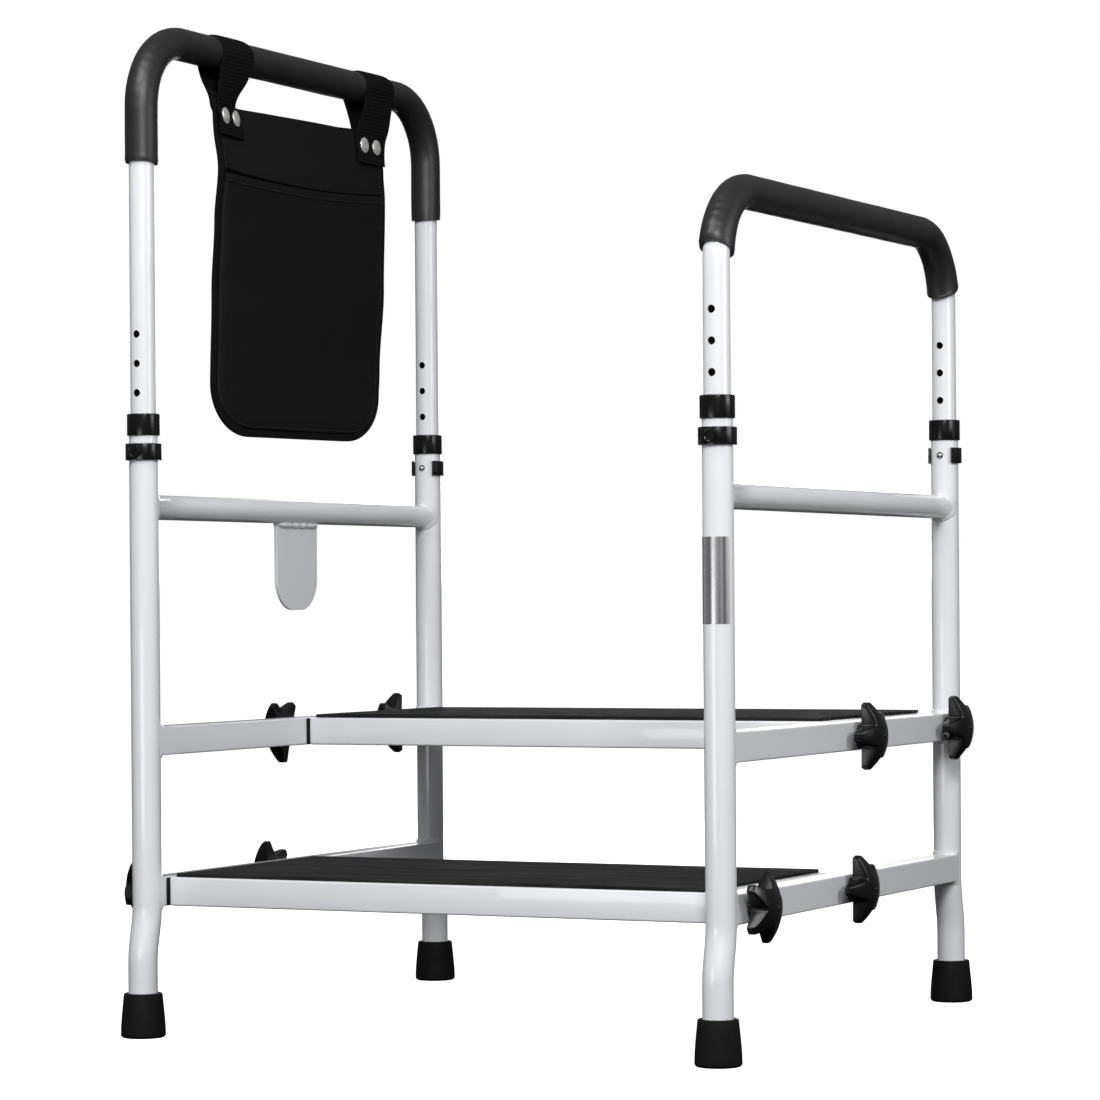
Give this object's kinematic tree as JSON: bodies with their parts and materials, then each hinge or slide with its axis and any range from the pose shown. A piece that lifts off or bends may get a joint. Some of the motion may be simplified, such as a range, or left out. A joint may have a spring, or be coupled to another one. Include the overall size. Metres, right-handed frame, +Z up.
{
  "type": "bedside step with hand rails",
  "caption": "Bedside step with ribbed treads, height-adjustable foam-gripped hand rails and a hanging storage pouch.",
  "frame": {"origin": "on the floor, at the middle of the footprint", "axes": "+Z up, +X to the user's right, -Y the side that the user steps up from"},
  "size_m": [0.615, 0.5774, 0.8832],
  "materials": {
    "white_powder_coat": "glossy white powder coat on steel tube",
    "black_foam": "matte closed-cell foam with a fine skin",
    "black_plastic": "semi-gloss moulded plastic",
    "black_rubber": "matte moulded rubber",
    "ribbed_rubber": "finely ribbed matte rubber matting",
    "zinc_steel": "bright zinc plate",
    "silver_foil": "brushed foil sticker, blank",
    "black_board": "dark stained plywood",
    "black_fabric": "woven black nylon",
    "black_webbing": "ribbed black webbing"
  },
  "bodies": {
    "frame": {"left_front_leg": "white_powder_coat", "left_front_foot": "black_rubber", "left_front_collar": "black_plastic", "left_rear_leg": "white_powder_coat", "left_rear_foot": "black_rubber", "left_rear_collar": "black_plastic", "left_cross_bar": "white_powder_coat", "left_lower_rail": "white_powder_coat", "left_upper_rail": "white_powder_coat", "right_front_leg": "white_powder_coat", "right_front_foot": "black_rubber", "right_front_collar": "black_plastic", "right_rear_leg": "white_powder_coat", "right_rear_foot": "black_rubber", "right_rear_collar": "black_plastic", "right_cross_bar": "white_powder_coat", "right_lower_rail": "white_powder_coat", "right_upper_rail": "white_powder_coat", "left_tongue_plate": "white_powder_coat", "right_front_label": "silver_foil", "lower_step_frame": "white_powder_coat", "lower_step_board": "black_board", "lower_step_mat": "ribbed_rubber", "upper_step_frame": "white_powder_coat", "upper_step_board": "black_board", "upper_step_mat": "ribbed_rubber"},
    "left_handle": {"left_handle_tube": "white_powder_coat", "left_foam_grip": "black_foam"},
    "right_handle": {"right_handle_tube": "white_powder_coat", "right_foam_grip": "black_foam"},
    "left_front_clip": {"left_front_snap_clip": "black_plastic", "left_front_clip_pin": "zinc_steel"},
    "left_rear_clip": {"left_rear_snap_clip": "black_plastic", "left_rear_clip_pin": "zinc_steel"},
    "right_front_clip": {"right_front_snap_clip": "black_plastic", "right_front_clip_pin": "zinc_steel"},
    "right_rear_clip": {"right_rear_snap_clip": "black_plastic", "right_rear_clip_pin": "zinc_steel"},
    "left_lower_front_knob": {"left_lower_front_knob": "black_plastic", "left_lower_front_knob_bolt": "zinc_steel"},
    "left_lower_rear_knob": {"left_lower_rear_knob": "black_plastic", "left_lower_rear_knob_bolt": "zinc_steel"},
    "left_upper_front_knob": {"left_upper_front_knob": "black_plastic", "left_upper_front_knob_bolt": "zinc_steel"},
    "left_upper_rear_knob": {"left_upper_rear_knob": "black_plastic", "left_upper_rear_knob_bolt": "zinc_steel"},
    "right_lower_front_knob": {"right_lower_front_knob": "black_plastic", "right_lower_front_knob_bolt": "zinc_steel"},
    "right_lower_rear_knob": {"right_lower_rear_knob": "black_plastic", "right_lower_rear_knob_bolt": "zinc_steel"},
    "right_upper_front_knob": {"right_upper_front_knob": "black_plastic", "right_upper_front_knob_bolt": "zinc_steel"},
    "right_upper_rear_knob": {"right_upper_rear_knob": "black_plastic", "right_upper_rear_knob_bolt": "zinc_steel"},
    "pouch": {"pouch_back_panel": "black_fabric", "pouch_front_pocket": "black_fabric", "pouch_front_strap": "black_webbing", "pouch_rear_strap": "black_webbing"}
  },
  "joints": [
    {"name": "left_handle_slide", "type": "slide", "parent": "frame", "child": "left_handle", "axis": [0, 0, 1], "range_m": [-0.1016, 0.0508], "deforming": ["pouch_back_panel", "pouch_front_pocket"]},
    {"name": "right_handle_slide", "type": "slide", "parent": "frame", "child": "right_handle", "axis": [0, 0, 1], "range_m": [-0.1016, 0.0508]},
    {"name": "left_front_clip_pull", "type": "slide", "parent": "frame", "child": "left_front_clip", "axis": [0, -1, 0], "range_m": [0, 0.032], "deforming": ["left_front_snap_clip"]},
    {"name": "left_rear_clip_pull", "type": "slide", "parent": "frame", "child": "left_rear_clip", "axis": [0, 1, 0], "range_m": [0, 0.032], "deforming": ["left_rear_snap_clip"]},
    {"name": "right_front_clip_pull", "type": "slide", "parent": "frame", "child": "right_front_clip", "axis": [0, -1, 0], "range_m": [0, 0.032], "deforming": ["right_front_snap_clip"]},
    {"name": "right_rear_clip_pull", "type": "slide", "parent": "frame", "child": "right_rear_clip", "axis": [0, 1, 0], "range_m": [0, 0.032], "deforming": ["right_rear_snap_clip"]},
    {"name": "left_lower_front_knob_turn", "type": "hinge", "parent": "frame", "child": "left_lower_front_knob", "pos_m": [-0.2835, -0.229, 0.1248], "axis": [-1, 0, 0], "range_deg": [0, 2520]},
    {"name": "left_lower_rear_knob_turn", "type": "hinge", "parent": "frame", "child": "left_lower_rear_knob", "pos_m": [-0.2835, -0.012, 0.1248], "axis": [-1, 0, 0], "range_deg": [0, 2520]},
    {"name": "left_upper_front_knob_turn", "type": "hinge", "parent": "frame", "child": "left_upper_front_knob", "pos_m": [-0.2835, 0.011, 0.2555], "axis": [-1, 0, 0], "range_deg": [0, 2520]},
    {"name": "left_upper_rear_knob_turn", "type": "hinge", "parent": "frame", "child": "left_upper_rear_knob", "pos_m": [-0.2835, 0.228, 0.2555], "axis": [-1, 0, 0], "range_deg": [0, 2520]},
    {"name": "right_lower_front_knob_turn", "type": "hinge", "parent": "frame", "child": "right_lower_front_knob", "pos_m": [0.2835, -0.229, 0.1248], "axis": [1, 0, 0], "range_deg": [0, 2520]},
    {"name": "right_lower_rear_knob_turn", "type": "hinge", "parent": "frame", "child": "right_lower_rear_knob", "pos_m": [0.2835, -0.012, 0.1248], "axis": [1, 0, 0], "range_deg": [0, 2520]},
    {"name": "right_upper_front_knob_turn", "type": "hinge", "parent": "frame", "child": "right_upper_front_knob", "pos_m": [0.2835, 0.011, 0.2555], "axis": [1, 0, 0], "range_deg": [0, 2520]},
    {"name": "right_upper_rear_knob_turn", "type": "hinge", "parent": "frame", "child": "right_upper_rear_knob", "pos_m": [0.2835, 0.228, 0.2555], "axis": [1, 0, 0], "range_deg": [0, 2520]},
    {"name": "pouch_swing", "type": "hinge", "parent": "left_handle", "child": "pouch", "pos_m": [-0.271, 0, 0.867], "axis": [0, 1, 0], "range_deg": [-75, 75]}
  ]
}
